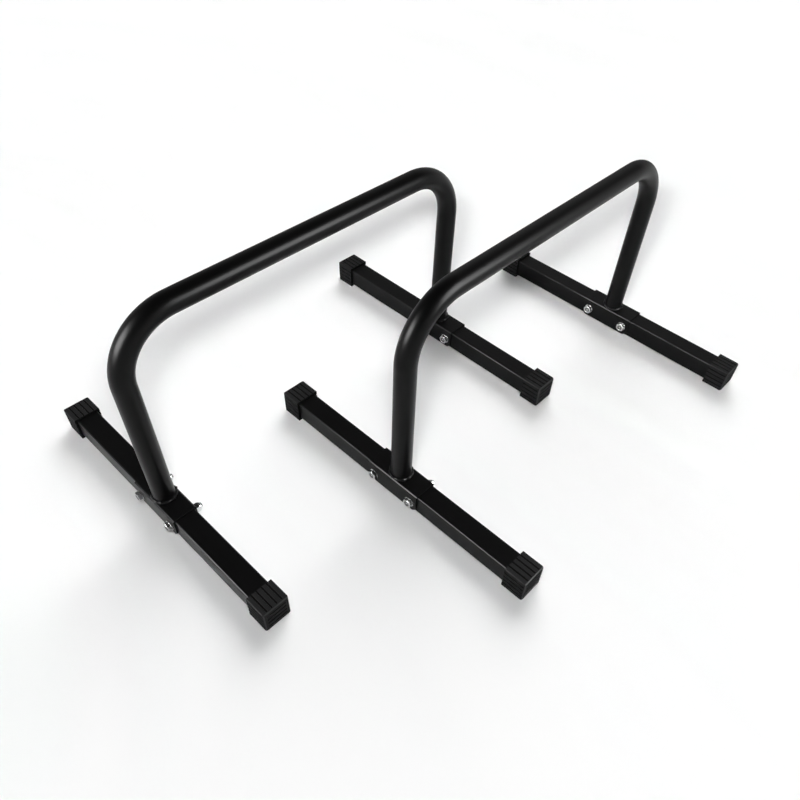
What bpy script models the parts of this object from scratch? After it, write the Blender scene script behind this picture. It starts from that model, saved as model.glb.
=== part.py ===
"""A pair of parallette bars, put together the way the real ones bolt up.

Each bar is a bent steel grip tube welded to two folded saddles. A saddle straddles a square
foot tube and is bolted through it, and a ribbed rubber cap closes each end of the foot.
Lengths are in metres. X runs along the feet, Y along the grips and Z is up. The origin is on
the floor, under the middle of the pair.
"""

import math

import bmesh
import bpy
from mathutils import Matrix, Vector

# Clearances
FIT = 0.0003
BOLT_PLAY = 0.0005

# Grip tube
GRIP_HEIGHT = 0.430
GRIP_DIAMETER = 0.038
GRIP_WALL = 0.002
LEG_SPACING = 0.706
BEND_RADIUS = 0.102
WELD_SIZE = 0.0045
WELD_ROOT_GAP = 0.0005

# Foot tube
FOOT_LENGTH = 0.610
BOX_SIZE = 0.040
BOX_WALL = 0.002
BOX_INSIDE_CORNER = 0.001

# End caps
CAP_LENGTH = 0.044
CAP_WALL = 0.0047
CAP_END = 0.005
CAP_END_BEVEL = 0.003
CAP_SIDE_BEVEL = 0.0015
GROOVE_COUNT = 4
GROOVE_WIDTH = 0.0035
GROOVE_DEPTH = 0.0015
PANEL_BORDER = 0.006
PANEL_DEPTH = 0.0008

# Saddles
SADDLE_LENGTH = 0.120
SADDLE_SHEET = 0.003
SADDLE_CHAMFER = 0.008

# Fasteners
BOLT_DIAMETER = 0.010
BOLT_EDGE = 0.015
BOLT_TIP = 0.001
BOLT_TAIL = 0.003
HEX_WIDTH = 0.017
HEX_EDGE = 0.0005
HEX_CHAMFER = math.radians(30)
HEAD_HEIGHT = 0.0064
DISH_DIAMETER = 0.011
DISH_DEPTH = 0.0012
NUT_HEIGHT = 0.010
COLLAR_HEIGHT = 0.003
COLLAR_DIAMETER = 0.015
COLLAR_EDGE = 0.001
WASHER_DIAMETER = 0.020
WASHER_THICKNESS = 0.002
FASTENER_TURN = math.radians(23)

# The pair: how far the right bar stands to the right of the left one, and behind it
PAIR_RIGHT = 0.254
PAIR_BACK = 0.328

# Facets
CORNER_STEPS = 3
BEND_STEPS = 8
TUBE_SIDES = 20
BOLT_SIDES = 14
HOLE_SIDES = 10
HEX_SIDES = 6
CHAMFER_SIDES = 12
BEVEL_STEPS = 2

# Worked-out sizes of a foot
CAP_SIZE = BOX_SIZE + 2 * (FIT + CAP_WALL)
FOOT_AXIS = CAP_SIZE / 2
BOX_TOP = FOOT_AXIS + BOX_SIZE / 2
BOX_BOTTOM = FOOT_AXIS - BOX_SIZE / 2
BOX_CORNER = BOX_INSIDE_CORNER + BOX_WALL
BOX_LENGTH = FOOT_LENGTH - 2 * (CAP_END + FIT)
SADDLE_TOP = BOX_TOP + FIT + SADDLE_SHEET
FLANGE_FACE = BOX_SIZE / 2 + FIT + SADDLE_SHEET
BOLT_X = SADDLE_LENGTH / 2 - BOLT_EDGE

# Where the fasteners sit, as distances from the foot's centreline
WASHER_SEAT = FLANGE_FACE + FIT
HEAD_SEAT = WASHER_SEAT + WASHER_THICKNESS + FIT
HEAD_REACH = HEAD_SEAT + HEAD_HEIGHT
TAIL_REACH = HEAD_SEAT + NUT_HEIGHT + BOLT_TAIL
SHANK_LENGTH = HEAD_SEAT + TAIL_REACH

# The pair is centred between the nearest bolt heads and the farthest bolt tails
NEAR_REACH = max(HEAD_REACH, CAP_SIZE / 2)
FAR_REACH = max(TAIL_REACH, CAP_SIZE / 2)
PAIR_SHIFT = (NEAR_REACH - FAR_REACH) / 2

PARTS = "parallette_bars"
CUTTERS = "cutters"
SIDES = (("left", -1), ("right", 1))


def clear_scene():
    """Remove what the start-up scene or an earlier run left behind, and make the collections."""
    for item in list(bpy.data.objects):
        bpy.data.objects.remove(item, do_unlink=True)
    for group in list(bpy.data.collections):
        bpy.data.collections.remove(group)
    for name in (PARTS, CUTTERS):
        bpy.context.scene.collection.children.link(bpy.data.collections.new(name))


def material(name, colour, roughness, metallic):
    """Principled material of one colour."""
    made = bpy.data.materials.new(name)
    made.use_nodes = True
    shader = made.node_tree.nodes["Principled BSDF"]
    shader.inputs["Base Color"].default_value = (*colour, 1)
    shader.inputs["Roughness"].default_value = roughness
    shader.inputs["Metallic"].default_value = metallic
    return made


def add_object(name, data, group=CUTTERS):
    """Object that carries a mesh or a curve or, as an empty, nothing."""
    item = bpy.data.objects.new(name, data)
    bpy.data.collections[group].objects.link(item)
    return item


def from_bmesh(name, shape):
    """Object made from a bmesh, which is freed."""
    mesh = bpy.data.meshes.new(name)
    shape.to_mesh(mesh)
    shape.free()
    return add_object(name, mesh)


def boolean(item, other, operation):
    """Join, cut or trim an object with another, which becomes a hidden guide."""
    other.display_type = "WIRE"
    other.hide_render = True
    step = item.modifiers.new(operation.lower(), "BOOLEAN")
    step.operation = operation
    step.object = other


def baked(item):
    """Mesh of an object with its modifiers and its place; the object is removed."""
    bpy.context.view_layer.update()
    graph = bpy.context.evaluated_depsgraph_get()
    mesh = bpy.data.meshes.new_from_object(item.evaluated_get(graph), depsgraph=graph)
    mesh.transform(item.matrix_world)
    bpy.data.objects.remove(item, do_unlink=True)
    return mesh


def finished(item, coat):
    """Mesh of a whole sub-part, with its material and smooth round faces; its guides go."""
    mesh = baked(item)
    mesh.materials.clear()
    mesh.materials.append(coat)
    mesh.shade_smooth()
    mesh.set_sharp_from_angle(angle=math.radians(35))
    for guide in list(bpy.data.collections[CUTTERS].objects):
        bpy.data.objects.remove(guide, do_unlink=True)
    return mesh


def arc(centre, first, last, steps):
    """Points of an arc about a centre, from one radius vector to another."""
    sweep = first.angle(last)
    points = []
    for step in range(steps + 1):
        angle = sweep * step / steps
        blend = first * math.sin(sweep - angle) + last * math.sin(angle)
        points.append(centre + blend / math.sin(sweep))
    return points


def rounded(corners, radius, steps, closed=False):
    """Flat path through corners, each with an arc; an open path keeps its ends sharp."""
    corners = [Vector(corner) for corner in corners]
    path = []
    for index, corner in enumerate(corners):
        if not closed and index in (0, len(corners) - 1):
            path.append(corner)
            continue
        back = (corners[index - 1] - corner).normalized()
        ahead = (corners[(index + 1) % len(corners)] - corner).normalized()
        half_angle = back.angle(ahead) / 2
        centre = corner + (back + ahead).normalized() * radius / math.sin(half_angle)
        run = radius / math.tan(half_angle)
        path += arc(centre, corner + back * run - centre, corner + ahead * run - centre, steps)
    return path


def edge_line(shape, points, closed):
    """Edges of a bmesh through points in order."""
    corners = [shape.verts.new(point) for point in points]
    following = corners[1:] + corners[:1] if closed else corners[1:]
    return [shape.edges.new(pair) for pair in zip(corners, following)]


def draw_out(shape, drawn, length):
    """Move what an extrusion has made along X, and turn the faces outward."""
    moved = [item for item in drawn["geom"] if isinstance(item, bmesh.types.BMVert)]
    bmesh.ops.translate(shape, verts=moved, vec=(length, 0, 0))
    bmesh.ops.recalc_face_normals(shape, faces=shape.faces)


def folded_sheet(name, inside, length, wall, closed):
    """Sheet of an even wall laid outside a path in the YZ plane, centred along X."""
    shape = bmesh.new()
    edges = edge_line(shape, [(-length / 2, y, z) for y, z in inside], closed)
    draw_out(shape, bmesh.ops.extrude_edge_only(shape, edges=edges), length)
    sheet = from_bmesh(name, shape)
    step = sheet.modifiers.new("wall", "SOLIDIFY")
    step.thickness = wall
    step.offset = 1
    step.use_even_offset = True
    return sheet


def turned(name, profile, sides, closed=False):
    """Body turned about Z from a profile of radius and height, outer side top to bottom."""
    shape = bmesh.new()
    edge_line(shape, [(radius, 0, height) for radius, height in profile], closed)
    body = from_bmesh(name, shape)
    step = body.modifiers.new("turn", "SCREW")
    step.steps = sides
    step.render_steps = sides
    step.use_merge_vertices = True
    step.merge_threshold = 0.00001
    return body


def prism(name, radius, low, high, sides):
    """Upright prism between two heights, with its corners at the radius."""
    shape = bmesh.new()
    bmesh.ops.create_cone(
        shape, cap_ends=True, segments=sides, radius1=radius, radius2=radius, depth=high - low)
    bmesh.ops.translate(shape, verts=shape.verts, vec=(0, 0, (low + high) / 2))
    return from_bmesh(name, shape)


def drill(name, radius, low, high):
    """Guide for a round hole, whose flats lie at the radius."""
    return prism(name, radius / math.cos(math.pi / HOLE_SIDES), low, high, HOLE_SIDES)


def add_box(shape, size, centre):
    """Box in a bmesh; returns its corners."""
    corners = bmesh.ops.create_cube(shape, size=1)["verts"]
    bmesh.ops.scale(shape, verts=corners, vec=size)
    bmesh.ops.translate(shape, verts=corners, vec=centre)
    return corners


def box(name, size, centre=(0, 0, 0)):
    """Box of a size about a centre."""
    shape = bmesh.new()
    add_box(shape, size, centre)
    return from_bmesh(name, shape)


def weld_bead():
    """Round fillet weld about a leg, rooted inside the tube's wall, from its origin up."""
    root = Vector((GRIP_DIAMETER / 2 - GRIP_WALL / 2, 0))
    toe = Vector((GRIP_WALL / 2 + WELD_SIZE, 0))
    profile = [*arc(root, Vector((0, WELD_SIZE)), toe, CORNER_STEPS), root]
    return turned("weld_bead", profile, TUBE_SIDES, closed=True)


def grip_tube(coat):
    """Bent hollow tube with its weld beads, about the floor midway between its legs."""
    bead_bottom = SADDLE_TOP + FIT
    tube_bottom = bead_bottom + WELD_ROOT_GAP
    axis = GRIP_HEIGHT - GRIP_DIAMETER / 2
    leg = LEG_SPACING / 2
    corners = [(-leg, tube_bottom), (-leg, axis), (leg, axis), (leg, tube_bottom)]
    path = rounded(corners, BEND_RADIUS, BEND_STEPS)

    line = bpy.data.curves.new("grip_line", "CURVE")
    line.dimensions = "3D"
    line.bevel_depth = GRIP_DIAMETER / 2
    line.bevel_resolution = (TUBE_SIDES - 4) // 2
    spline = line.splines.new("POLY")
    spline.points.add(len(path) - 1)
    for point, (y, z) in zip(spline.points, path):
        point.co = (0, y, z, 1)

    tube = add_object("grip_tube", baked(add_object("grip_skin", line)))
    wall = tube.modifiers.new("wall", "SOLIDIFY")
    wall.thickness = GRIP_WALL
    wall.offset = -1
    wall.use_even_offset = True
    for side in (-1, 1):
        bead = weld_bead()
        bead.location = (0, side * leg, bead_bottom)
        boolean(tube, bead, "UNION")
    return finished(tube, coat)


def drill_bolt_holes(item):
    """Cut both bolt holes along Y, right through a foot."""
    for _, side in SIDES:
        hole = drill("hole", BOLT_DIAMETER / 2 + BOLT_PLAY, -HEAD_SEAT, HEAD_SEAT)
        hole.rotation_euler.x = math.pi / 2
        hole.location = (side * BOLT_X, 0, FOOT_AXIS)
        boolean(item, hole, "DIFFERENCE")


def saddle(coat):
    """Folded U over the foot tube, with its lower corners cut off and its bolt holes."""
    half = BOX_SIZE / 2 + FIT
    top = BOX_TOP + FIT
    corners = [(-half, BOX_BOTTOM), (-half, top), (half, top), (half, BOX_BOTTOM)]
    fold = rounded(corners, BOX_CORNER + FIT, CORNER_STEPS)
    sheet = folded_sheet("saddle", fold, SADDLE_LENGTH, SADDLE_SHEET, closed=False)
    for _, side in SIDES:
        edge = SADDLE_CHAMFER * math.sqrt(2)
        corner = box("corner", (edge, 3 * FLANGE_FACE, edge))
        corner.rotation_euler.y = math.pi / 4
        corner.location = (side * SADDLE_LENGTH / 2, 0, BOX_BOTTOM)
        boolean(sheet, corner, "DIFFERENCE")
    drill_bolt_holes(sheet)
    return finished(sheet, coat)


def square_path(half, centre_height, radius):
    """Closed square path about the foot's axis, with rounded corners."""
    low = centre_height - half
    high = centre_height + half
    corners = [(-half, low), (-half, high), (half, high), (half, low)]
    return rounded(corners, radius, CORNER_STEPS, closed=True)


def foot_tube(coat):
    """Square tube with rounded corners, drilled through both side walls for the bolts."""
    bore = square_path(BOX_SIZE / 2 - BOX_WALL, FOOT_AXIS, BOX_INSIDE_CORNER)
    tube = folded_sheet("foot_tube", bore, BOX_LENGTH, BOX_WALL, closed=True)
    drill_bolt_holes(tube)
    return finished(tube, coat)


def weigh_cap_edges(mesh):
    """Bevel weights: full round the closed end at +X, less along the sides, none at the mouth."""
    weights = mesh.attributes.new("bevel_weight_edge", "FLOAT", "EDGE")
    for edge in mesh.edges:
        ends = [mesh.vertices[index].co.x for index in edge.vertices]
        if min(ends) > -CAP_LENGTH / 2:
            weights.data[edge.index].value = 1
        elif max(ends) > -CAP_LENGTH / 2:
            weights.data[edge.index].value = CAP_SIDE_BEVEL / CAP_END_BEVEL


def cap_grooves():
    """Guide for the grooves along all four sides of a cap, between lands of one pitch."""
    shape = bmesh.new()
    pitch = CAP_SIZE / (GROOVE_COUNT + 1)
    size = (2 * CAP_LENGTH, GROOVE_WIDTH, 2 * GROOVE_DEPTH)
    for face in range(4):
        turn = Matrix.Rotation(face * math.pi / 2, 3, "X")
        for index in range(GROOVE_COUNT):
            across = (index - (GROOVE_COUNT - 1) / 2) * pitch
            groove = add_box(shape, size, (-CAP_LENGTH / 2, across, CAP_SIZE / 2))
            bmesh.ops.rotate(shape, verts=groove, cent=(0, 0, 0), matrix=turn)
    return from_bmesh("grooves", shape)


def cap_pocket():
    """Guide for the pocket that takes the foot tube: from the end wall out past the mouth."""
    shape = bmesh.new()
    outline = square_path(BOX_SIZE / 2 + FIT, 0, BOX_CORNER + FIT)
    floor = shape.faces.new([shape.verts.new((-CAP_END, y, z)) for y, z in outline])
    draw_out(shape, bmesh.ops.extrude_face_region(shape, geom=[floor]), -CAP_LENGTH)
    return from_bmesh("pocket", shape)


def end_cap(coat):
    """Rubber cap with grooved sides and a recessed end, about the middle of its end face."""
    cap = box("end_cap", (CAP_LENGTH, CAP_SIZE, CAP_SIZE), (-CAP_LENGTH / 2, 0, 0))
    weigh_cap_edges(cap.data)
    bevel = cap.modifiers.new("edges", "BEVEL")
    bevel.limit_method = "WEIGHT"
    bevel.width = CAP_END_BEVEL
    bevel.segments = BEVEL_STEPS
    panel = CAP_SIZE - 2 * PANEL_BORDER
    boolean(cap, cap_grooves(), "DIFFERENCE")
    boolean(cap, cap_pocket(), "DIFFERENCE")
    boolean(cap, box("panel", (2 * PANEL_DEPTH, panel, panel)), "DIFFERENCE")
    return finished(cap, coat)


def hexagon(name, height):
    """Hexagon from its origin up, the corners of its top turned down to a round face."""
    corner = HEX_WIDTH / math.sqrt(3)
    face = HEX_WIDTH / 2 - HEX_EDGE
    clear = corner + HEX_EDGE
    drop = (clear - face) * math.tan(HEX_CHAMFER)
    profile = [(0, height), (face, height), (clear, height - drop), (clear, -HEX_EDGE)]
    profile.append((0, -HEX_EDGE))
    body = prism(name, corner, 0, height + HEX_EDGE, HEX_SIDES)
    boolean(body, turned("chamfer", profile, CHAMFER_SIDES), "INTERSECT")
    return body


def bolt(plating):
    """Hex bolt with a dished head: the head stands on its origin and the shank hangs down."""
    radius = BOLT_DIAMETER / 2
    root = HEAD_HEIGHT / 2
    profile = [(0, root), (radius, root), (radius, BOLT_TIP - SHANK_LENGTH)]
    profile += [(radius - BOLT_TIP, -SHANK_LENGTH), (0, -SHANK_LENGTH)]
    dish = drill("dish", DISH_DIAMETER / 2, HEAD_HEIGHT - DISH_DEPTH, HEAD_HEIGHT + DISH_DEPTH)
    body = hexagon("bolt", HEAD_HEIGHT)
    boolean(body, turned("shank", profile, BOLT_SIDES), "UNION")
    boolean(body, dish, "DIFFERENCE")
    return finished(body, plating)


def nut(plating):
    """Lock nut from its bearing face up: a hexagon, then the collar round its nylon ring."""
    radius = COLLAR_DIAMETER / 2
    hex_height = NUT_HEIGHT - COLLAR_HEIGHT
    profile = [(0, NUT_HEIGHT), (radius - COLLAR_EDGE, NUT_HEIGHT)]
    profile += [(radius, NUT_HEIGHT - COLLAR_EDGE), (radius, hex_height / 2), (0, hex_height / 2)]
    bore = drill("bore", BOLT_DIAMETER / 2 + FIT, -NUT_HEIGHT, 2 * NUT_HEIGHT)
    body = hexagon("nut", hex_height)
    boolean(body, turned("collar", profile, BOLT_SIDES), "UNION")
    boolean(body, bore, "DIFFERENCE")
    return finished(body, plating)


def washer(plating):
    """Flat washer from its origin up."""
    inside = BOLT_DIAMETER / 2 + FIT
    outside = WASHER_DIAMETER / 2
    profile = [(inside, WASHER_THICKNESS), (outside, WASHER_THICKNESS), (outside, 0), (inside, 0)]
    return finished(turned("washer", profile, BOLT_SIDES, closed=True), plating)


def place(name, mesh, parent, location=(0, 0, 0), turn=(0, 0, 0)):
    """One piece of the object, placed in its parent's frame."""
    piece = add_object(name, mesh, PARTS)
    piece.parent = parent
    piece.location = location
    piece.rotation_euler = turn


def stand(name, location, parent=None):
    """Empty that carries the pieces of a bar or of a foot."""
    carrier = add_object(name, None, PARTS)
    carrier.parent = parent
    carrier.location = location
    return carrier


def assemble_foot(prefix, foot, shapes, spin):
    """Put one foot together about the floor under its leg: bolt heads face -Y."""
    place(prefix + "foot_tube", shapes["foot_tube"], foot)
    place(prefix + "saddle", shapes["saddle"], foot)
    for name, side in SIDES:
        end = (side * FOOT_LENGTH / 2, 0, FOOT_AXIS)
        place(prefix + "cap_" + name, shapes["cap"], foot, end, (0, 0, math.pi * (side < 0)))
        spin += FASTENER_TURN
        near = (math.pi / 2, spin, 0)
        far = (-math.pi / 2, spin, 0)
        for kind, seat, facing in (
            ("bolt", -HEAD_SEAT, near),
            ("head_washer", -WASHER_SEAT, near),
            ("nut_washer", WASHER_SEAT, far),
            ("nut", HEAD_SEAT, far),
        ):
            mesh = shapes[kind.split("_")[-1]]
            place(f"{prefix}{kind}_{name}", mesh, foot, (side * BOLT_X, seat, FOOT_AXIS), facing)
    return spin


def main():
    """Make each sub-part once, then put both bars together."""
    clear_scene()
    black = material("satin_black_coat", (0.012, 0.012, 0.013), 0.42, 0.0)
    rubber = material("black_rubber", (0.016, 0.016, 0.017), 0.6, 0.0)
    zinc = material("zinc_plate", (0.72, 0.72, 0.7), 0.3, 1.0)
    shapes = {
        "grip_tube": grip_tube(black),
        "saddle": saddle(black),
        "foot_tube": foot_tube(black),
        "cap": end_cap(rubber),
        "bolt": bolt(zinc),
        "nut": nut(zinc),
        "washer": washer(zinc),
    }
    spin = 0
    for name, side in SIDES:
        bar = stand(name + "_bar", (side * PAIR_RIGHT / 2, side * PAIR_BACK / 2 + PAIR_SHIFT, 0))
        place(name + "_grip_tube", shapes["grip_tube"], bar)
        for end, along in (("front", -1), ("rear", 1)):
            foot = stand(f"{name}_{end}_foot", (0, along * LEG_SPACING / 2, 0), bar)
            spin = assemble_foot(f"{name}_{end}_", foot, shapes, spin)


main()
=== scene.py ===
"""The looks of a pair of parallette bars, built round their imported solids.

Each bar is a bent steel grip tube welded to two folded saddles. A saddle straddles a square
foot tube and is bolted through it, and a ribbed rubber cap closes each end of the foot.
Lengths are in metres. X runs along the feet, Y along the grips and Z is up. The origin is on
the floor, under the middle of the pair.
"""

import math

import bmesh
import bpy
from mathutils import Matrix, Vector


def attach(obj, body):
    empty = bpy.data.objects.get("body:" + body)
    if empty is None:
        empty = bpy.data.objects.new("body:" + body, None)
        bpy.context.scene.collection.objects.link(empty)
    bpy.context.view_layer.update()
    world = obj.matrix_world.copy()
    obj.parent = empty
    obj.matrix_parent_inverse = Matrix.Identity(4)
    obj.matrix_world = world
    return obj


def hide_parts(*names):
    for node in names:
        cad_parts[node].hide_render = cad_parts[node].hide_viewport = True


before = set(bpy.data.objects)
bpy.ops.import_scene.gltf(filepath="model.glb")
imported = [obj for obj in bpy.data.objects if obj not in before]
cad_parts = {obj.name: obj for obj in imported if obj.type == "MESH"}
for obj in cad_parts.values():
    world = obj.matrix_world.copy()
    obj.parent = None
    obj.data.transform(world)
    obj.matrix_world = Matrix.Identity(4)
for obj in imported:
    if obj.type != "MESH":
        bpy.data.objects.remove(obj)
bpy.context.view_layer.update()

# Clearances
FIT = 0.0003
BOLT_PLAY = 0.0005

# Grip tube
GRIP_HEIGHT = 0.430
GRIP_DIAMETER = 0.038
GRIP_WALL = 0.002
LEG_SPACING = 0.706
BEND_RADIUS = 0.102

# Weld bead round a leg's foot. Its ripples rise and dip by turns, and no two rise alike. All of
# it is glossier, with a painted highlight.
BEAD_OUTSET = 0.00081
BEAD_RADIUS = 0.00306
BEAD_LIFT = 0.00135
BEAD_ROOT_GAP = 0.0005
BEAD_HIGHLIGHT = 0.6
RIPPLES = 11
RIPPLE_STEPS = 4
RIPPLE_RISE = 0.0007
RIPPLE_DIP = 0.0015
RIPPLE_CHANGE = 0.0005
RIPPLE_SWING = 1.7
BEAD_TURN = 1.0

# Foot tube
FOOT_LENGTH = 0.610
BOX_SIZE = 0.040
BOX_WALL = 0.002
BOX_CORNER = 0.002

# End caps
CAP_LENGTH = 0.044
CAP_SIZE = 0.050
CAP_END = 0.005
CAP_END_BEVEL = 0.0042
CAP_SIDE_BEVEL = 0.0015
CAP_MOUTH_BEVEL = 0.0004
CAP_RIM = 0.0035
GROOVE_COUNT = 4
GROOVE_PITCH = 0.010
GROOVE_WIDTH = 0.0032
GROOVE_DEPTH = 0.0015
GROOVE_EDGE = 0.00035
GROOVE_SHADE_DEPTH = 0.0006
PANEL_BORDER = 0.006
PANEL_DEPTH = 0.0008
PANEL_EDGE = 0.0004
SLOT_WIDTH = 0.0026
SLOT_DEPTH = 0.0012

# Where a cap gets a painted highlight and gloss: part of the bend into its end face, and less so
# its other corners
END_HIGHLIGHT_SLOPES = (0.4, 0.92)
CORNER_SLOPE = 0.3
CORNER_HIGHLIGHT = 0.6

# Saddles
SADDLE_LENGTH = 0.120
SADDLE_SHEET = 0.003
SADDLE_CHAMFER = 0.008
SADDLE_FOLD = 0.0005
SHEET_EDGE = 0.0004
CUT_END_SLOPE = 0.6

# Bolts. A thread's flats and flanks are shares of its pitch. A step of a head's dish goes in by
# a share of its radius and up by a share of its depth. Outside its middle the dish gets painted
# shade, as do the thread's roots.
BOLT_DIAMETER = 0.010
BOLT_EDGE = 0.015
BOLT_TIP = 0.001
BOLT_TAIL = 0.003
THREAD_PITCH = 0.0015
THREAD_DEPTH = 0.0008
THREAD_LENGTH = 0.024
THREAD_FLAT = 0.1
THREAD_FLANK = 0.4
THREAD_SHADE_DEPTH = 0.00048
HEAD_HEIGHT = 0.0064
HEAD_EDGE = 0.0002
DISH_DIAMETER = 0.011
DISH_DEPTH = 0.0012
DISH_STEPS = ((0.12, -0.5), (0.16, -0.35), (0.2, -0.15), (0.16, 0.32), (0.2, 0.18))
DISH_MIDDLE = 0.35

# Hexagons, nuts and washers. Each bolt and its nut are turned on a little from the last.
HEX_WIDTH = 0.017
HEX_EDGE = 0.0005
HEX_CHAMFER = math.radians(30)
NUT_HEIGHT = 0.010
NUT_EDGE = 0.00015
COLLAR_HEIGHT = 0.003
COLLAR_DIAMETER = 0.015
COLLAR_EDGE = 0.001
COLLAR_LIP = 0.0003
WASHER_DIAMETER = 0.020
WASHER_THICKNESS = 0.002
WASHER_EDGE = 0.0003
FASTENER_TURN = math.radians(23)

# Where the pieces of a foot sit
FOOT_AXIS = CAP_SIZE / 2
BOX_TOP = FOOT_AXIS + BOX_SIZE / 2
BOX_BOTTOM = FOOT_AXIS - BOX_SIZE / 2
BOX_LENGTH = FOOT_LENGTH - 2 * (CAP_END + FIT)
SADDLE_TOP = BOX_TOP + FIT + SADDLE_SHEET
FLANGE_FACE = BOX_SIZE / 2 + FIT + SADDLE_SHEET
BOLT_X = SADDLE_LENGTH / 2 - BOLT_EDGE
WASHER_SEAT = FLANGE_FACE + FIT
HEAD_SEAT = WASHER_SEAT + WASHER_THICKNESS + FIT
SHANK_LENGTH = 2 * HEAD_SEAT + NUT_HEIGHT + BOLT_TAIL
BEAD_BOTTOM = SADDLE_TOP + FIT
TUBE_BOTTOM = BEAD_BOTTOM + BEAD_ROOT_GAP

# The pair: how far apart and how far staggered, and its shift for the bolts' longer tails
PAIR_RIGHT = 0.254
PAIR_BACK = 0.328
PAIR_SHIFT = (HEAD_HEIGHT - NUT_HEIGHT - BOLT_TAIL) / 2

# Facets
TUBE_SIDES = 72
BEND_STEPS = 28
BEAD_SIDES = 20
CORNER_STEPS = 6
CAP_BEVEL_STEPS = 7
EDGE_STEPS = 2
ROUND_SIDES = 64
BORE_SIDES = 48
ROD_SIDES = 32

# What counts as a sharp edge, as faces in one plane, as a face that isn't rounded, as a face
# square to an axis and as points in one place
SHARP = math.radians(32)
FLUSH = math.radians(1)
FLAT = 0.995
SQUARE = 0.9999
SAME_PLACE = 0.00001

# How much wider than a piece a shape is that trims it lengthwise
OVERSIZE = 1.1

# Colours: a range runs from dark patches to light ones
COAT_RANGE = ((0.0022, 0.0022, 0.0023), (0.0040, 0.0040, 0.0042))
# A lighter edge colour is a painted highlight along rounded edges
COAT_EDGE_HIGHLIGHT = (0.012, 0.012, 0.0124)
# A darkest colour is painted shade in grooves, slots, dishes, thread roots and on cut ends
COAT_PAINTED_SHADE = (0.0008, 0.0008, 0.0008)
RUBBER_RANGE = ((0.011, 0.011, 0.0113), (0.019, 0.019, 0.0195))
RUBBER_EDGE_HIGHLIGHT = (0.030, 0.030, 0.0305)
RUBBER_PAINTED_SHADE = (0.0010, 0.0010, 0.0010)
ZINC_RANGE = ((0.72, 0.73, 0.75), (0.90, 0.90, 0.88))
ZINC_PAINTED_SHADE = (0.02, 0.02, 0.02)
NYLON = (0.72, 0.72, 0.70)
WHITE = (1.0, 1.0, 1.0)

# Heights of the fine relief in the finishes
PEEL_HEIGHT = 0.00006
COAT_GRAIN_HEIGHT = 0.000012
RUBBER_GRAIN_HEIGHT = 0.00005
ZINC_MARK_HEIGHT = 0.00002

# Camera
CAMERA_PLACE = (0.6578, -0.7709, 1.0421)
CAMERA_DEGREES = (42.047, -2.4735, 43.493)
CAMERA_SENSOR = 36
CAMERA_LENS = 31.296
CAMERA_SHIFT = (-0.0220, 0.0331)

# Studio. A lamp's level is the share of a white floor's brightness that it gives, and the
# walls' glow is a grey at each height of the sky, from the horizon to straight up.
FLOOR_SIZE = 60
WALL_GLOW = ((0.0, 0.8), (0.17, 0.8), (0.26, 0.6), (0.42, 0.2), (0.64, 0.06), (1.0, 0.015))
WALL_LEVEL = 0.1
FRONT_LAMP_PLACE = (0.575, -0.735, 1.122)
FRONT_LAMP_TURN = math.radians(43.5)
FRONT_LAMP_SIZE = (0.26, 0.12)
FRONT_LAMP_LEVEL = 0.48
BACK_LAMP_PLACE = (-0.405, 0.701, 0.588)
BACK_LAMP_ANGLE = math.radians(48)
BACK_LAMP_LEVEL = 0.52

# Softboxes: name, place, what they aim at, width and height, and glow
SOFTBOXES = (
    ("right_softbox", (1.10, 0.46, 0.84), (0.0, 0.0, 0.2), (0.75, 0.8), 19.0),
    ("left_softbox", (-0.52, -2.00, 1.12), (0.0, -0.3, 0.1), (1.3, 1.0), 27.0),
    ("rear_softbox", (-1.00, 2.45, 1.85), (0.0, 0.35, 0.05), (1.9, 0.8), 0.5),
)

SIDES = (("left", -1), ("right", 1))
ENDS = (("front", -1), ("rear", 1))


def start(adder, name, scale=(1, 1, 1), **settings):
    """Add a primitive as a new piece, alone selected, with its size and place in its mesh."""
    bpy.ops.object.select_all(action="DESELECT")
    adder(**settings)
    piece = bpy.context.object
    piece.name = name
    piece.data.name = name
    piece.scale = scale
    bpy.ops.object.transform_apply(location=True, rotation=True, scale=True)
    return piece


def take(piece):
    """Select one piece alone and make it the one that operators act on."""
    bpy.ops.object.select_all(action="DESELECT")
    piece.select_set(True)
    bpy.context.view_layer.objects.active = piece


def work_on(piece):
    """Go into edit mode on one piece."""
    take(piece)
    bpy.ops.object.mode_set(mode="EDIT")


def leave():
    """Back to object mode."""
    bpy.ops.object.mode_set(mode="OBJECT")


def place_of(item):
    """Middle of a vertex, an edge or a face."""
    if hasattr(item, "co"):
        return item.co
    return sum((corner.co for corner in item.verts), Vector()) / len(item.verts)


def pick_all(kind="VERT"):
    """In edit mode, select all of a piece."""
    bpy.ops.mesh.select_mode(type=kind)
    bpy.ops.mesh.select_all(action="SELECT")


def pick(kind, test):
    """In edit mode, select just the vertices, edges or faces that pass a test."""
    bpy.ops.mesh.select_mode(type=kind)
    bpy.ops.mesh.select_all(action="DESELECT")
    mesh = bpy.context.edit_object.data
    shape = bmesh.from_edit_mesh(mesh)
    items = {"VERT": shape.verts, "EDGE": shape.edges, "FACE": shape.faces}[kind]
    for item in items:
        if test(place_of(item), item):
            item.select_set(True)
    bmesh.update_edit_mesh(mesh)


def extrude(x=0.0, y=0.0, z=0.0):
    """Extrude what is selected along a direction."""
    bpy.ops.mesh.extrude_region_move(TRANSFORM_OT_translate={"value": (x, y, z)})


def resize(x=1.0, y=1.0, z=1.0, about=(0, 0, 0)):
    """Scale what is selected about a point."""
    bpy.ops.transform.resize(value=(x, y, z), center_override=about)


def modify(piece, kind, **settings):
    """Add a modifier to a piece and apply it."""
    bpy.context.view_layer.objects.active = piece
    step = piece.modifiers.new(kind.lower(), kind)
    for name, value in settings.items():
        setattr(step, name, value)
    bpy.ops.object.modifier_apply(modifier=step.name)


def join_shape(piece, other, operation):
    """Cut, trim or join a piece with another shape, which is used up."""
    modify(piece, "BOOLEAN", operation=operation, solver="EXACT", object=other)
    bpy.data.objects.remove(other, do_unlink=True)


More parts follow.
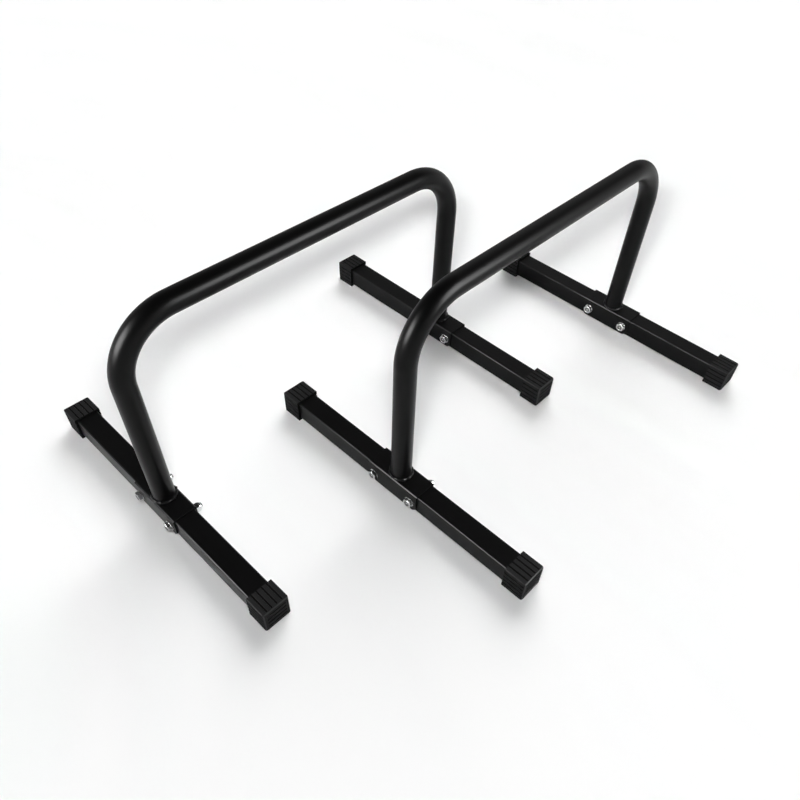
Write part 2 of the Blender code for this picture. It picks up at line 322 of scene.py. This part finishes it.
def smooth(piece):
    """Smooth the round faces of a piece and keep its edges sharp."""
    take(piece)
    bpy.ops.object.shade_smooth_by_angle(angle=SHARP)
    modify(piece, "WEIGHTED_NORMAL", keep_sharp=True)


def soften(piece, width):
    """Round the sharp edges of a piece a little, and smooth it."""
    modify(
        piece, "BEVEL", width=width, segments=EDGE_STEPS, limit_method="ANGLE",
        angle_limit=SHARP)
    smooth(piece)


def outward(piece):
    """Merge the doubles of a piece and turn its faces outward."""
    work_on(piece)
    pick_all()
    bpy.ops.mesh.remove_doubles(threshold=SAME_PLACE)
    bpy.ops.mesh.normals_make_consistent(inside=False)
    leave()


def mark_faces(piece, name, test):
    """Mark each face of a piece with what a test gives, from 0 to 1, for its finish to read."""
    mark = piece.data.attributes.new(name, "FLOAT", "FACE")
    for face in piece.data.polygons:
        mark.data[face.index].value = float(test(face.center, face.normal))


def rounded(place, normal):
    """Whether a face of a boxy piece belongs to one of its rounded edges."""
    return max(map(abs, normal)) < FLAT


def copy_of(piece, name, location=(0, 0, 0), turn=(0, 0, 0)):
    """Copy of a piece with its own mesh, whose new place is put in that mesh."""
    twin = piece.copy()
    twin.data = piece.data.copy()
    twin.name = name
    twin.data.name = name
    bpy.context.collection.objects.link(twin)
    twin.location = location
    twin.rotation_euler = turn
    take(twin)
    bpy.ops.object.transform_apply(location=True, rotation=True, scale=True)
    return twin


def grip_tube():
    """Bent hollow tube, from a ring drawn up one leg, round both bends and down the other."""
    leg = LEG_SPACING / 2
    axis = GRIP_HEIGHT - GRIP_DIAMETER / 2
    bend_start = axis - BEND_RADIUS
    tube = start(
        bpy.ops.mesh.primitive_circle_add, "grip_tube", vertices=TUBE_SIDES,
        radius=GRIP_DIAMETER / 2, location=(0, -leg, TUBE_BOTTOM))
    work_on(tube)
    pick_all()
    extrude(z=bend_start - TUBE_BOTTOM)
    bpy.ops.mesh.spin(
        steps=BEND_STEPS, angle=math.pi / 2, center=(0, -leg + BEND_RADIUS, bend_start),
        axis=(1, 0, 0))
    extrude(y=LEG_SPACING - 2 * BEND_RADIUS)
    bpy.ops.mesh.spin(
        steps=BEND_STEPS, angle=math.pi / 2, center=(0, leg - BEND_RADIUS, bend_start),
        axis=(1, 0, 0))
    extrude(z=TUBE_BOTTOM - bend_start)
    leave()
    outward(tube)
    modify(tube, "SOLIDIFY", thickness=GRIP_WALL, offset=-1, use_even_offset=True)
    smooth(tube)
    return tube


def weld_bead():
    """Fillet weld in uneven ripples, about the leg's axis, its underside flat."""
    bead = start(
        bpy.ops.mesh.primitive_torus_add, "weld_bead",
        major_radius=GRIP_DIAMETER / 2 + BEAD_OUTSET, minor_radius=BEAD_RADIUS,
        major_segments=RIPPLES * RIPPLE_STEPS, minor_segments=BEAD_SIDES,
        location=(0, 0, BEAD_BOTTOM + BEAD_LIFT))
    pitch = 2 * math.pi / RIPPLES
    near = math.cos(pitch / RIPPLE_STEPS / 2)
    work_on(bead)
    for half in range(2 * RIPPLES):
        angle = half * pitch / 2
        way = Vector((math.cos(angle), math.sin(angle)))
        pick("VERT", lambda place, item: place.xy.normalized().dot(way) > near)
        swell = RIPPLE_RISE + RIPPLE_CHANGE * math.sin(half * RIPPLE_SWING)
        bpy.ops.transform.shrink_fatten(value=swell - RIPPLE_DIP * (half % 2))
    pick("VERT", lambda place, item: place.z < BEAD_BOTTOM)
    resize(z=0, about=(0, 0, BEAD_BOTTOM))
    leave()
    smooth(bead)
    # The whole bead gets gloss and a painted highlight
    mark_faces(bead, "edge", lambda place, normal: BEAD_HIGHLIGHT)
    return bead


def drill_bolt_holes(piece):
    """Drill both bolt holes along Y, right through a foot."""
    for side in (-1, 1):
        drill = start(
            bpy.ops.mesh.primitive_cylinder_add, "drill", vertices=ROD_SIDES,
            radius=BOLT_DIAMETER / 2 + BOLT_PLAY, depth=3 * BOX_SIZE,
            location=(side * BOLT_X, 0, FOOT_AXIS), rotation=(math.pi / 2, 0, 0))
        join_shape(piece, drill, "DIFFERENCE")


def saddle():
    """Folded sheet over the foot tube, with its lower corners cut off and its bolt holes."""
    half = BOX_SIZE / 2 + FIT
    top = BOX_TOP + FIT
    sheet = start(
        bpy.ops.mesh.primitive_plane_add, "saddle", size=1, location=(0, 0, top),
        scale=(SADDLE_LENGTH, 2 * half, 1))
    work_on(sheet)
    pick("EDGE", lambda place, item: abs(place.y) > half - FIT)
    extrude(z=BOX_BOTTOM - top)
    pick("VERT", lambda place, item: place.z < FOOT_AXIS)
    bpy.ops.mesh.bevel(offset=SADDLE_CHAMFER, offset_type="OFFSET", segments=1, affect="VERTICES")
    pick("EDGE", lambda place, item: abs(place.y) > half - FIT and place.z > top - FIT)
    bpy.ops.mesh.bevel(offset=SADDLE_FOLD, segments=CORNER_STEPS, affect="EDGES")
    leave()
    outward(sheet)
    modify(sheet, "SOLIDIFY", thickness=SADDLE_SHEET, offset=1, use_even_offset=True)
    drill_bolt_holes(sheet)
    soften(sheet, SHEET_EDGE)
    # Rounded edges get gloss and a painted highlight
    mark_faces(sheet, "edge", rounded)
    # Cut ends get painted shade and are duller
    mark_faces(sheet, "sunk", lambda place, normal: abs(normal.x) > CUT_END_SLOPE)
    return sheet


def foot_tube():
    """Square tube with rounded corners, drilled through both side walls for the bolts."""
    tube = start(
        bpy.ops.mesh.primitive_plane_add, "foot_tube", size=BOX_SIZE,
        location=(-BOX_LENGTH / 2, 0, FOOT_AXIS), rotation=(0, math.pi / 2, 0))
    work_on(tube)
    pick_all()
    bpy.ops.mesh.bevel(offset=BOX_CORNER, segments=CORNER_STEPS, affect="VERTICES")
    pick_all()
    extrude(x=BOX_LENGTH)
    pick("FACE", lambda place, item: abs(place.x) > BOX_LENGTH / 2 - FIT)
    bpy.ops.mesh.delete(type="ONLY_FACE")
    leave()
    outward(tube)
    modify(tube, "SOLIDIFY", thickness=BOX_WALL, offset=-1, use_even_offset=True)
    drill_bolt_holes(tube)
    smooth(tube)
    # Rounded edges get gloss and a painted highlight
    mark_faces(tube, "edge", rounded)
    return tube


def cap_envelope():
    """Outside of a cap without its grooves: a box, its end rounded and its end face panelled."""
    block = start(
        bpy.ops.mesh.primitive_cube_add, "end_cap", scale=(CAP_LENGTH, CAP_SIZE, CAP_SIZE),
        size=1, location=(-CAP_LENGTH / 2, 0, 0))
    bevels = (
        (0, CAP_END_BEVEL),
        (-CAP_LENGTH / 2, CAP_SIDE_BEVEL),
        (-CAP_LENGTH, CAP_MOUTH_BEVEL),
    )
    work_on(block)
    for centre, width in bevels:
        pick("EDGE", lambda place, item: abs(place.x - centre) < FIT)
        bpy.ops.transform.edge_bevelweight(value=width / CAP_END_BEVEL)
    leave()
    modify(
        block, "BEVEL", width=CAP_END_BEVEL, segments=CAP_BEVEL_STEPS, limit_method="WEIGHT")
    work_on(block)
    pick("FACE", lambda place, item: item.normal.x > SQUARE)
    bpy.ops.mesh.inset(thickness=PANEL_BORDER - CAP_END_BEVEL)
    bpy.ops.mesh.inset(thickness=PANEL_EDGE, depth=-PANEL_DEPTH)
    leave()
    return block


def grooved_bar():
    """Bar of the cap's section with grooves along all four sides, up to a plain rim."""
    half = CAP_SIZE / 2
    floor = half - GROOVE_DEPTH
    back = -2 * CAP_LENGTH
    bar = start(
        bpy.ops.mesh.primitive_plane_add, "grooved_bar", size=CAP_SIZE,
        location=(back, 0, 0), rotation=(0, math.pi / 2, 0))
    cuts = [floor]
    for groove in range(GROOVE_COUNT // 2):
        centre = (groove + 0.5) * GROOVE_PITCH
        cuts += [centre - GROOVE_WIDTH / 2, centre + GROOVE_WIDTH / 2]
    work_on(bar)
    for cut in cuts:
        for side in (-1, 1):
            for direction in ((0, 1, 0), (0, 0, 1)):
                pick_all()
                place = (back, side * cut * direction[1], side * cut * direction[2])
                bpy.ops.mesh.bisect(plane_co=place, plane_no=direction)

    def in_groove(place, item):
        low, high = sorted((abs(place.y), abs(place.z)))
        across = abs(low % GROOVE_PITCH - GROOVE_PITCH / 2)
        return high > floor and low < floor and across < GROOVE_WIDTH / 2

    pick("FACE", in_groove)
    bpy.ops.mesh.delete(type="FACE")
    pick_all()
    bpy.ops.mesh.dissolve_limited(angle_limit=FLUSH)
    pick_all()
    bpy.ops.mesh.bevel(offset=GROOVE_EDGE, segments=EDGE_STEPS, affect="VERTICES")
    pick_all()
    extrude(x=-back - CAP_RIM / 2)
    leave()
    outward(bar)
    rim = start(
        bpy.ops.mesh.primitive_cube_add, "rim", size=1,
        scale=(CAP_LENGTH, OVERSIZE * CAP_SIZE, OVERSIZE * CAP_SIZE),
        location=(CAP_LENGTH / 2 - CAP_RIM, 0, 0))
    join_shape(bar, rim, "UNION")
    return bar


def end_cap():
    """Rubber cap with grooved sides, about the middle of its end face, its mouth towards -X."""
    cap = cap_envelope()
    join_shape(cap, grooved_bar(), "INTERSECT")
    width = CAP_SIZE - 2 * (PANEL_BORDER + PANEL_EDGE)
    for row in range(GROOVE_COUNT):
        height = (row - (GROOVE_COUNT - 1) / 2) * GROOVE_PITCH
        slot = start(
            bpy.ops.mesh.primitive_cube_add, "slot", size=1,
            scale=(2 * (PANEL_DEPTH + SLOT_DEPTH), width, SLOT_WIDTH), location=(0, 0, height))
        join_shape(cap, slot, "DIFFERENCE")
    pocket = start(
        bpy.ops.mesh.primitive_plane_add, "pocket", size=BOX_SIZE + 2 * FIT,
        location=(-CAP_END, 0, 0), rotation=(0, math.pi / 2, 0))
    work_on(pocket)
    pick_all()
    bpy.ops.mesh.bevel(offset=BOX_CORNER + FIT, segments=CORNER_STEPS, affect="VERTICES")
    pick_all()
    extrude(x=-CAP_LENGTH)
    leave()
    outward(pocket)
    join_shape(cap, pocket, "DIFFERENCE")
    smooth(cap)

    # Faces that get painted shade: the grooves, the slots in the end face and the mouth
    def sunk(place, normal):
        depth = CAP_SIZE / 2 - max(abs(place.y), abs(place.z))
        groove = GROOVE_SHADE_DEPTH < depth < GROOVE_DEPTH + FIT and place.x < -CAP_RIM
        slot = -CAP_END < place.x < -PANEL_DEPTH - FIT and depth > PANEL_BORDER
        mouth = place.x < -CAP_LENGTH + FIT
        return groove or slot or mouth

    # Faces that get a painted highlight and gloss: part of the bend into the end face, less so
    # the other corners
    def cap_highlight(place, normal):
        if place.x > -CAP_END_BEVEL:
            low, high = END_HIGHLIGHT_SLOPES
            return low < normal.x < high
        return CORNER_HIGHLIGHT * (min(abs(normal.y), abs(normal.z)) > CORNER_SLOPE)

    mark_faces(cap, "edge", cap_highlight)
    mark_faces(cap, "sunk", sunk)
    return cap


def hexagon(name, height):
    """Hexagon from its origin up, the corners of its top turned down to a round face."""
    corner = HEX_WIDTH / math.sqrt(3)
    face = HEX_WIDTH / 2 - HEX_EDGE
    clear = corner + HEX_EDGE
    slope = (clear - face) * math.tan(HEX_CHAMFER)
    body = start(
        bpy.ops.mesh.primitive_cylinder_add, name, vertices=6, radius=corner,
        depth=height + HEX_EDGE, location=(0, 0, (height + HEX_EDGE) / 2))
    turning = start(
        bpy.ops.mesh.primitive_cylinder_add, "turning", vertices=ROUND_SIDES, radius=clear,
        depth=height)
    work_on(turning)
    pick("FACE", lambda place, item: item.normal.z > SQUARE)
    extrude(z=height / 2 - slope)
    extrude(z=slope)
    resize(face / clear, face / clear, 1)
    leave()
    join_shape(body, turning, "INTERSECT")
    return body


def disc(name, radius, height, sides):
    """Flat disc that a round shape is drawn up from."""
    return start(
        bpy.ops.mesh.primitive_circle_add, name, vertices=sides, radius=radius,
        fill_type="NGON", location=(0, 0, height))


def shank():
    """Shank from its tip up into the head, with rings in place of the turns of its thread."""
    radius = BOLT_DIAMETER / 2
    tip = radius - BOLT_TIP
    core = (radius - THREAD_DEPTH) / radius
    turns = int(THREAD_LENGTH / THREAD_PITCH)
    rod = disc("shank", tip, -SHANK_LENGTH, ROD_SIDES)
    work_on(rod)
    pick_all("FACE")
    extrude(z=BOLT_TIP)
    resize(radius / tip, radius / tip, 1)
    for turn in range(turns):
        for size in (core, 1 / core):
            extrude(z=THREAD_PITCH * THREAD_FLAT)
            extrude(z=THREAD_PITCH * THREAD_FLANK)
            resize(size, size, 1)
    extrude(z=SHANK_LENGTH + HEAD_HEIGHT / 2 - BOLT_TIP - turns * THREAD_PITCH)
    leave()
    outward(rod)
    return rod


def bolt():
    """Hex bolt whose head stands on its origin, dished round a raised middle."""
    body = hexagon("bolt", HEAD_HEIGHT)
    face = HEX_WIDTH / 2 - HEX_EDGE
    dish = DISH_DIAMETER / 2
    work_on(body)
    pick("FACE", lambda place, item: item.normal.z > SQUARE and place.z > HEAD_HEIGHT - FIT)
    bpy.ops.mesh.inset(thickness=face - dish)
    for inward, upward in DISH_STEPS:
        bpy.ops.mesh.inset(thickness=dish * inward, depth=DISH_DEPTH * upward)
    leave()
    soften(body, HEAD_EDGE)
    join_shape(body, shank(), "UNION")
    smooth(body)

    # Faces that get painted shade: the dish round its middle and the thread's roots
    def sunk(place, normal):
        reach = place.xy.length
        if place.z > 0:
            below = normal.z < FLAT and place.z < HEAD_HEIGHT - FIT / 2
            return below and dish * DISH_MIDDLE < reach < dish
        return reach < BOLT_DIAMETER / 2 - THREAD_SHADE_DEPTH

    mark_faces(body, "sunk", sunk)
    return body


def nut():
    """Lock nut from its bearing face up: a hexagon, then the collar round its nylon ring."""
    radius = COLLAR_DIAMETER / 2
    hex_height = NUT_HEIGHT - COLLAR_HEIGHT
    body = hexagon("nut", hex_height)
    collar = disc("collar", radius, hex_height / 2, ROUND_SIDES)
    work_on(collar)
    pick_all("FACE")
    wide = radius
    top = NUT_HEIGHT - COLLAR_EDGE
    extrude(z=top - hex_height / 2)
    for step in range(1, EDGE_STEPS + 1):
        turn = step / EDGE_STEPS * math.pi / 2
        size = radius - COLLAR_EDGE * (1 - math.cos(turn))
        height = NUT_HEIGHT - COLLAR_EDGE * (1 - math.sin(turn))
        extrude(z=height - top)
        resize(size / wide, size / wide, 1)
        wide = size
        top = height
    bpy.ops.mesh.inset(thickness=COLLAR_LIP, depth=-COLLAR_LIP)
    leave()
    outward(collar)
    join_shape(body, collar, "UNION")
    bore = start(
        bpy.ops.mesh.primitive_cylinder_add, "bore", vertices=BORE_SIDES,
        radius=BOLT_DIAMETER / 2 + FIT, depth=4 * NUT_HEIGHT)
    join_shape(body, bore, "DIFFERENCE")
    soften(body, NUT_EDGE)

    def nylon(place, normal):
        return place.z > hex_height and place.xy.length < radius - COLLAR_EDGE - COLLAR_LIP

    mark_faces(body, "nylon", nylon)
    return body


def washer():
    """Flat washer from its origin up, its edges a little rounded."""
    plate = disc("washer", WASHER_DIAMETER / 2, 0, ROUND_SIDES)
    work_on(plate)
    pick_all("FACE")
    bpy.ops.mesh.inset(thickness=WASHER_DIAMETER / 2 - BOLT_DIAMETER / 2 - FIT)
    bpy.ops.mesh.delete(type="FACE")
    leave()
    modify(plate, "SOLIDIFY", thickness=WASHER_THICKNESS, offset=1)
    soften(plate, WASHER_EDGE)
    return plate


class Value:
    """Socket of a node tree that takes part in sums as a number does."""

    def __init__(self, tree, socket):
        self.tree = tree
        self.socket = socket

    def maths(self, operation, first, second):
        """Add a Math node that works on two values or numbers."""
        node = self.tree.nodes.new("ShaderNodeMath")
        node.operation = operation
        feed(self.tree, node.inputs[0], first)
        feed(self.tree, node.inputs[1], second)
        return Value(self.tree, node.outputs[0])

    def __add__(self, other):
        return self.maths("ADD", self, other)

    def __radd__(self, other):
        return self.maths("ADD", other, self)

    def __sub__(self, other):
        return self.maths("SUBTRACT", self, other)

    def __rsub__(self, other):
        return self.maths("SUBTRACT", other, self)

    def __mul__(self, other):
        return self.maths("MULTIPLY", self, other)

    def __rmul__(self, other):
        return self.maths("MULTIPLY", other, self)

    def __pow__(self, other):
        return self.maths("POWER", self, other)


def feed(tree, socket, value):
    """Set a socket to a number or a colour, or link another socket to it."""
    if isinstance(value, Value):
        tree.links.new(value.socket, socket)
    elif isinstance(value, tuple) and len(value) == 3 and len(socket.default_value) == 4:
        socket.default_value = (*value, 1)
    else:
        socket.default_value = value


class Tree:
    """Node tree of a material, a lamp or the world, written from its nodes' types."""

    def __init__(self, owner):
        owner.use_nodes = True
        self.tree = owner.node_tree
        self.tree.nodes.clear()

    def node(self, kind, settings=None, inputs=None, output=0):
        """Add a node, set it up, fill its sockets and give one of its outputs.

        Where the output is None, as for a tree's last node, the node itself is given.
        """
        node = self.tree.nodes.new("ShaderNode" + kind)
        for name, value in (settings or {}).items():
            if name == "stops":
                self.set_stops(node.color_ramp, value)
            else:
                setattr(node, name, value)
        for name, value in (inputs or {}).items():
            feed(self.tree, node.inputs[name], value)
        if output is None:
            return node
        return Value(self.tree, node.outputs[output])

    def set_stops(self, ramp, stops):
        """Give a ramp its stops, each a place and a grey."""
        ramp.elements.remove(ramp.elements[-1])
        for number, (place, grey) in enumerate(stops):
            stop = ramp.elements.new(place) if number else ramp.elements[0]
            stop.position = place
            stop.color = (grey, grey, grey, 1)

    def noise(self, scale, detail):
        """Cloudy pattern whose patches are about 1 / scale metres across, from 0 to 1."""
        place = self.node("TexCoord", output="Object")
        return self.node("TexNoise", None, {"Vector": place, "Scale": scale, "Detail": detail})

    def between(self, share, low, high):
        """Colour between two colours."""
        return self.node("Mix", {"data_type": "RGBA"}, {0: share, 6: low, 7: high}, output=2)

    def mark(self, name):
        """Mark on a piece's faces, which is 0 on pieces without it."""
        return self.node("Attribute", {"attribute_name": name}, output="Fac")

    def bump(self, height, distance, **more):
        """Normal of a surface raised by a height pattern, which spans a distance."""
        return self.node("Bump", None, {"Height": height, "Distance": distance, **more})


def finish(build):
    """Material whose shader sockets are filled by what a function gives, under its name."""
    made = bpy.data.materials.new(build.__name__)
    tree = Tree(made)
    shader = tree.node("BsdfPrincipled", None, build(tree))
    tree.node("OutputMaterial", None, {"Surface": shader}, output=None)
    return made


def satin_black_coat(tree):
    """Powder coat: near black and satin, with a fine orange peel and a faint cloudy sheen.

    Rounded edges and weld beads are glossier, with a painted highlight, and cut ends are duller,
    with painted shade. On what lies level a film of dust spreads the gloss at slanting angles.
    """
    clouds = tree.noise(scale=9, detail=3)
    patches = tree.noise(scale=160, detail=2)
    peel = tree.noise(scale=620, detail=1.5)
    grain = tree.noise(scale=2600, detail=1)
    edge_highlight = tree.mark("edge") * (0.7 + 0.3 * patches)
    sunk = tree.mark("sunk")
    colour = tree.between(clouds, *COAT_RANGE)
    # Lighter on rounded edges and weld beads: a painted highlight
    colour = tree.between(edge_highlight, colour, COAT_EDGE_HIGHLIGHT)
    # Darker on cut ends: painted shade
    colour = tree.between(sunk, colour, COAT_PAINTED_SHADE)
    facing = tree.node("NewGeometry", output="Normal")
    level = tree.node("SeparateXYZ", None, {"Vector": facing}, output="Z") ** 2
    slant = tree.node("LayerWeight", None, {"Blend": 0.5}, output="Facing") ** 2
    fine = tree.bump(grain, COAT_GRAIN_HEIGHT)
    return {
        "Base Color": colour,
        "Roughness": 0.25 + 0.06 * clouds + 0.05 * patches + 0.6 * sunk + 0.6 * slant * level,
        "Specular IOR Level": 0.11,
        "Coat Weight": 0.32 * edge_highlight * (1 - sunk),
        "Coat Roughness": 0.07,
        "Normal": tree.bump(peel, PEEL_HEIGHT, Normal=fine),
    }


def black_rubber(tree):
    """Moulded rubber: matt black with a fine grain, glossier at its corners with a painted
    highlight, and painted shade in its grooves, slots and mouth.
    """
    clouds = tree.noise(scale=28, detail=3)
    grain = tree.noise(scale=1500, detail=3)
    edge = tree.mark("edge")
    sunk = tree.mark("sunk")
    colour = tree.between(clouds, *RUBBER_RANGE)
    # Lighter at the cap's corners: a painted highlight
    colour = tree.between(edge * grain, colour, RUBBER_EDGE_HIGHLIGHT)
    # Darker in the grooves, slots and mouth: painted shade
    colour = tree.between(0.85 * sunk, colour, RUBBER_PAINTED_SHADE)
    return {
        "Base Color": colour,
        "Roughness": 0.6 + 0.1 * clouds + 0.1 * grain + 0.2 * sunk,
        "Specular IOR Level": 0.05,
        "Coat Weight": 0.3 * edge,
        "Coat Roughness": 0.3,
        "Normal": tree.bump(grain, RUBBER_GRAIN_HEIGHT),
    }


def zinc_plate(tree):
    """Bright zinc over steel, with milky patches and fine marks, and a nut's nylon ring."""
    clouds = tree.noise(scale=300, detail=3)
    marks = tree.noise(scale=2200, detail=2)
    sunk = tree.mark("sunk")
    nylon = tree.mark("nylon")
    colour = tree.between(clouds, *ZINC_RANGE)
    # Darker in a head's dish round its middle and in the thread's roots: painted shade
    colour = tree.between(0.85 * sunk, colour, ZINC_PAINTED_SHADE)
    colour = tree.between(nylon, colour, NYLON)
    return {
        "Base Color": colour,
        "Metallic": 1 - nylon,
        "Roughness": 0.09 + 0.1 * clouds + 0.05 * marks + 0.3 * nylon,
        "Normal": tree.bump(marks, ZINC_MARK_HEIGHT),
    }


def white_floor(tree):
    """Floor's plain matt white."""
    return {"Base Color": WHITE, "Roughness": 0.9, "Specular IOR Level": 0.0}


def hang(name, kind, place, aim=None, **settings):
    """Lamp at a place, turned to what it aims at; no camera sees it."""
    lamp = bpy.data.lights.new(name, kind)
    for setting, value in settings.items():
        setattr(lamp, setting, value)
    item = bpy.data.objects.new(name, lamp)
    item.location = place
    if aim:
        item.rotation_euler = (Vector(aim) - Vector(place)).to_track_quat("-Z", "Y").to_euler()
    item.visible_camera = False
    bpy.context.scene.collection.objects.link(item)
    return item


def even_lamp(name, place, turn, size, level):
    """Small lamp facing down that lights the whole floor to one level, near and far.

    A plain lamp's light on the floor falls with the fourth power of the distance, because both
    lamp and floor are seen aslant, so this one glows stronger by as much.
    """
    item = hang(
        name, "AREA", place, shape="RECTANGLE", size=size[0], size_y=size[1],
        energy=math.pi ** 2 * level * place[2] ** 2)
    item.rotation_euler = (0, 0, turn)
    item.visible_glossy = False
    tree = Tree(item.data)
    reach = tree.node("LightPath", output="Ray Length")
    glow = tree.node("Emission", None, {"Strength": (reach * (1 / place[2])) ** 4})
    tree.node("OutputLight", None, {"Surface": glow}, output=None)


def far_lamp(name, place, angle, level):
    """Wide lamp far away that lights the floor to a level and isn't reflected."""
    item = hang(
        name, "SUN", place, (0, 0, 0), angle=angle,
        energy=math.pi * level / Vector(place).normalized().z)
    item.visible_glossy = False


def softbox(name, place, aim, size, glow):
    """Panel of an even glow that only shows as a reflection."""
    width, height = size
    item = hang(
        name, "AREA", place, aim, shape="RECTANGLE", size=width, size_y=height,
        energy=math.pi * glow * width * height)
    item.visible_diffuse = False


def studio_world():
    """Pale walls round the floor that darken towards the ceiling; the camera sees plain white.

    The walls show in full in what is shiny, and light the rest only faintly.
    """
    world = bpy.data.worlds.new("studio")
    bpy.context.scene.world = world
    tree = Tree(world)
    way = tree.node("TexCoord", output="Generated")
    height = tree.node("SeparateXYZ", None, {"Vector": way}, output="Z")
    glow = tree.node("ValToRGB", {"stops": WALL_GLOW}, {"Fac": height})
    seen = tree.node("LightPath", output="Is Camera Ray")
    glossy = tree.node("LightPath", output="Is Glossy Ray")
    through = tree.node("LightPath", output="Is Transmission Ray")
    level = glow * (WALL_LEVEL + (1 - WALL_LEVEL) * (glossy + through))
    light = tree.node(
        "Background", None, {"Color": WHITE, "Strength": seen + (1 - seen) * level})
    tree.node("OutputWorld", None, {"Surface": light}, output=None)


def hand_over(piece, node, body, slot):
    """Give a piece the finish of its slot; it rides on its body and stands for its solid."""
    piece.data.materials.clear()
    piece.data.materials.append(finishes[slot])
    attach(piece, body)
    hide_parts(node)


finishes = {
    "black_coat": finish(satin_black_coat),
    "black_rubber": finish(black_rubber),
    "zinc_plate": finish(zinc_plate),
}

patterns = {
    "grip_tube": grip_tube(),
    "weld_bead": weld_bead(),
    "saddle": saddle(),
    "foot_tube": foot_tube(),
    "cap": end_cap(),
    "bolt": bolt(),
    "nut": nut(),
    "washer": washer(),
}

spin = 0
for bar, side in SIDES:
    body = f"{bar}_bar"
    middle = Vector((side * PAIR_RIGHT / 2, side * PAIR_BACK / 2 + PAIR_SHIFT, 0))
    tube = f"{bar}_grip_tube"
    piece = copy_of(patterns["grip_tube"], f"{tube}_fine", middle)
    hand_over(piece, tube, body, "black_coat")
    for end, along in ENDS:
        foot = middle + Vector((0, along * LEG_SPACING / 2, 0))
        turn = (0, 0, BEAD_TURN * (side + along))
        piece = copy_of(patterns["weld_bead"], f"{bar}_{end}_weld_bead", foot, turn)
        hand_over(piece, tube, body, "black_coat")
        for kind in ("foot_tube", "saddle"):
            name = f"{bar}_{end}_{kind}"
            piece = copy_of(patterns[kind], f"{name}_fine", foot)
            hand_over(piece, name, body, "black_coat")
        for hand, way in SIDES:
            name = f"{bar}_{end}_cap_{hand}"
            place = foot + Vector((way * FOOT_LENGTH / 2, 0, FOOT_AXIS))
            turn = (0, 0, math.pi * (way < 0))
            piece = copy_of(patterns["cap"], f"{name}_fine", place, turn)
            hand_over(piece, name, body, "black_rubber")
            spin += FASTENER_TURN
            for kind, seat, facing in (
                ("bolt", -HEAD_SEAT, 1),
                ("head_washer", -WASHER_SEAT, 1),
                ("nut_washer", WASHER_SEAT, -1),
                ("nut", HEAD_SEAT, -1),
            ):
                name = f"{bar}_{end}_{kind}_{hand}"
                pattern = patterns[kind.split("_")[-1]]
                place = foot + Vector((way * BOLT_X, seat, FOOT_AXIS))
                turn = (facing * math.pi / 2, spin, 0)
                piece = copy_of(pattern, f"{name}_fine", place, turn)
                hand_over(piece, name, body, "zinc_plate")
for pattern in patterns.values():
    bpy.data.objects.remove(pattern, do_unlink=True)

floor = start(bpy.ops.mesh.primitive_plane_add, "floor", size=FLOOR_SIZE)
floor.data.materials.append(finish(white_floor))

data = bpy.data.cameras.new("camera")
data.sensor_width = CAMERA_SENSOR
data.lens = CAMERA_LENS
data.shift_x, data.shift_y = CAMERA_SHIFT
camera = bpy.data.objects.new("camera", data)
bpy.context.scene.collection.objects.link(camera)
camera.location = CAMERA_PLACE
camera.rotation_euler = [math.radians(angle) for angle in CAMERA_DEGREES]
bpy.context.scene.camera = camera

studio_world()
even_lamp("front_lamp", FRONT_LAMP_PLACE, FRONT_LAMP_TURN, FRONT_LAMP_SIZE, FRONT_LAMP_LEVEL)
far_lamp("back_lamp", BACK_LAMP_PLACE, BACK_LAMP_ANGLE, BACK_LAMP_LEVEL)
for box in SOFTBOXES:
    softbox(*box)

bpy.context.scene.view_settings.view_transform = "Standard"
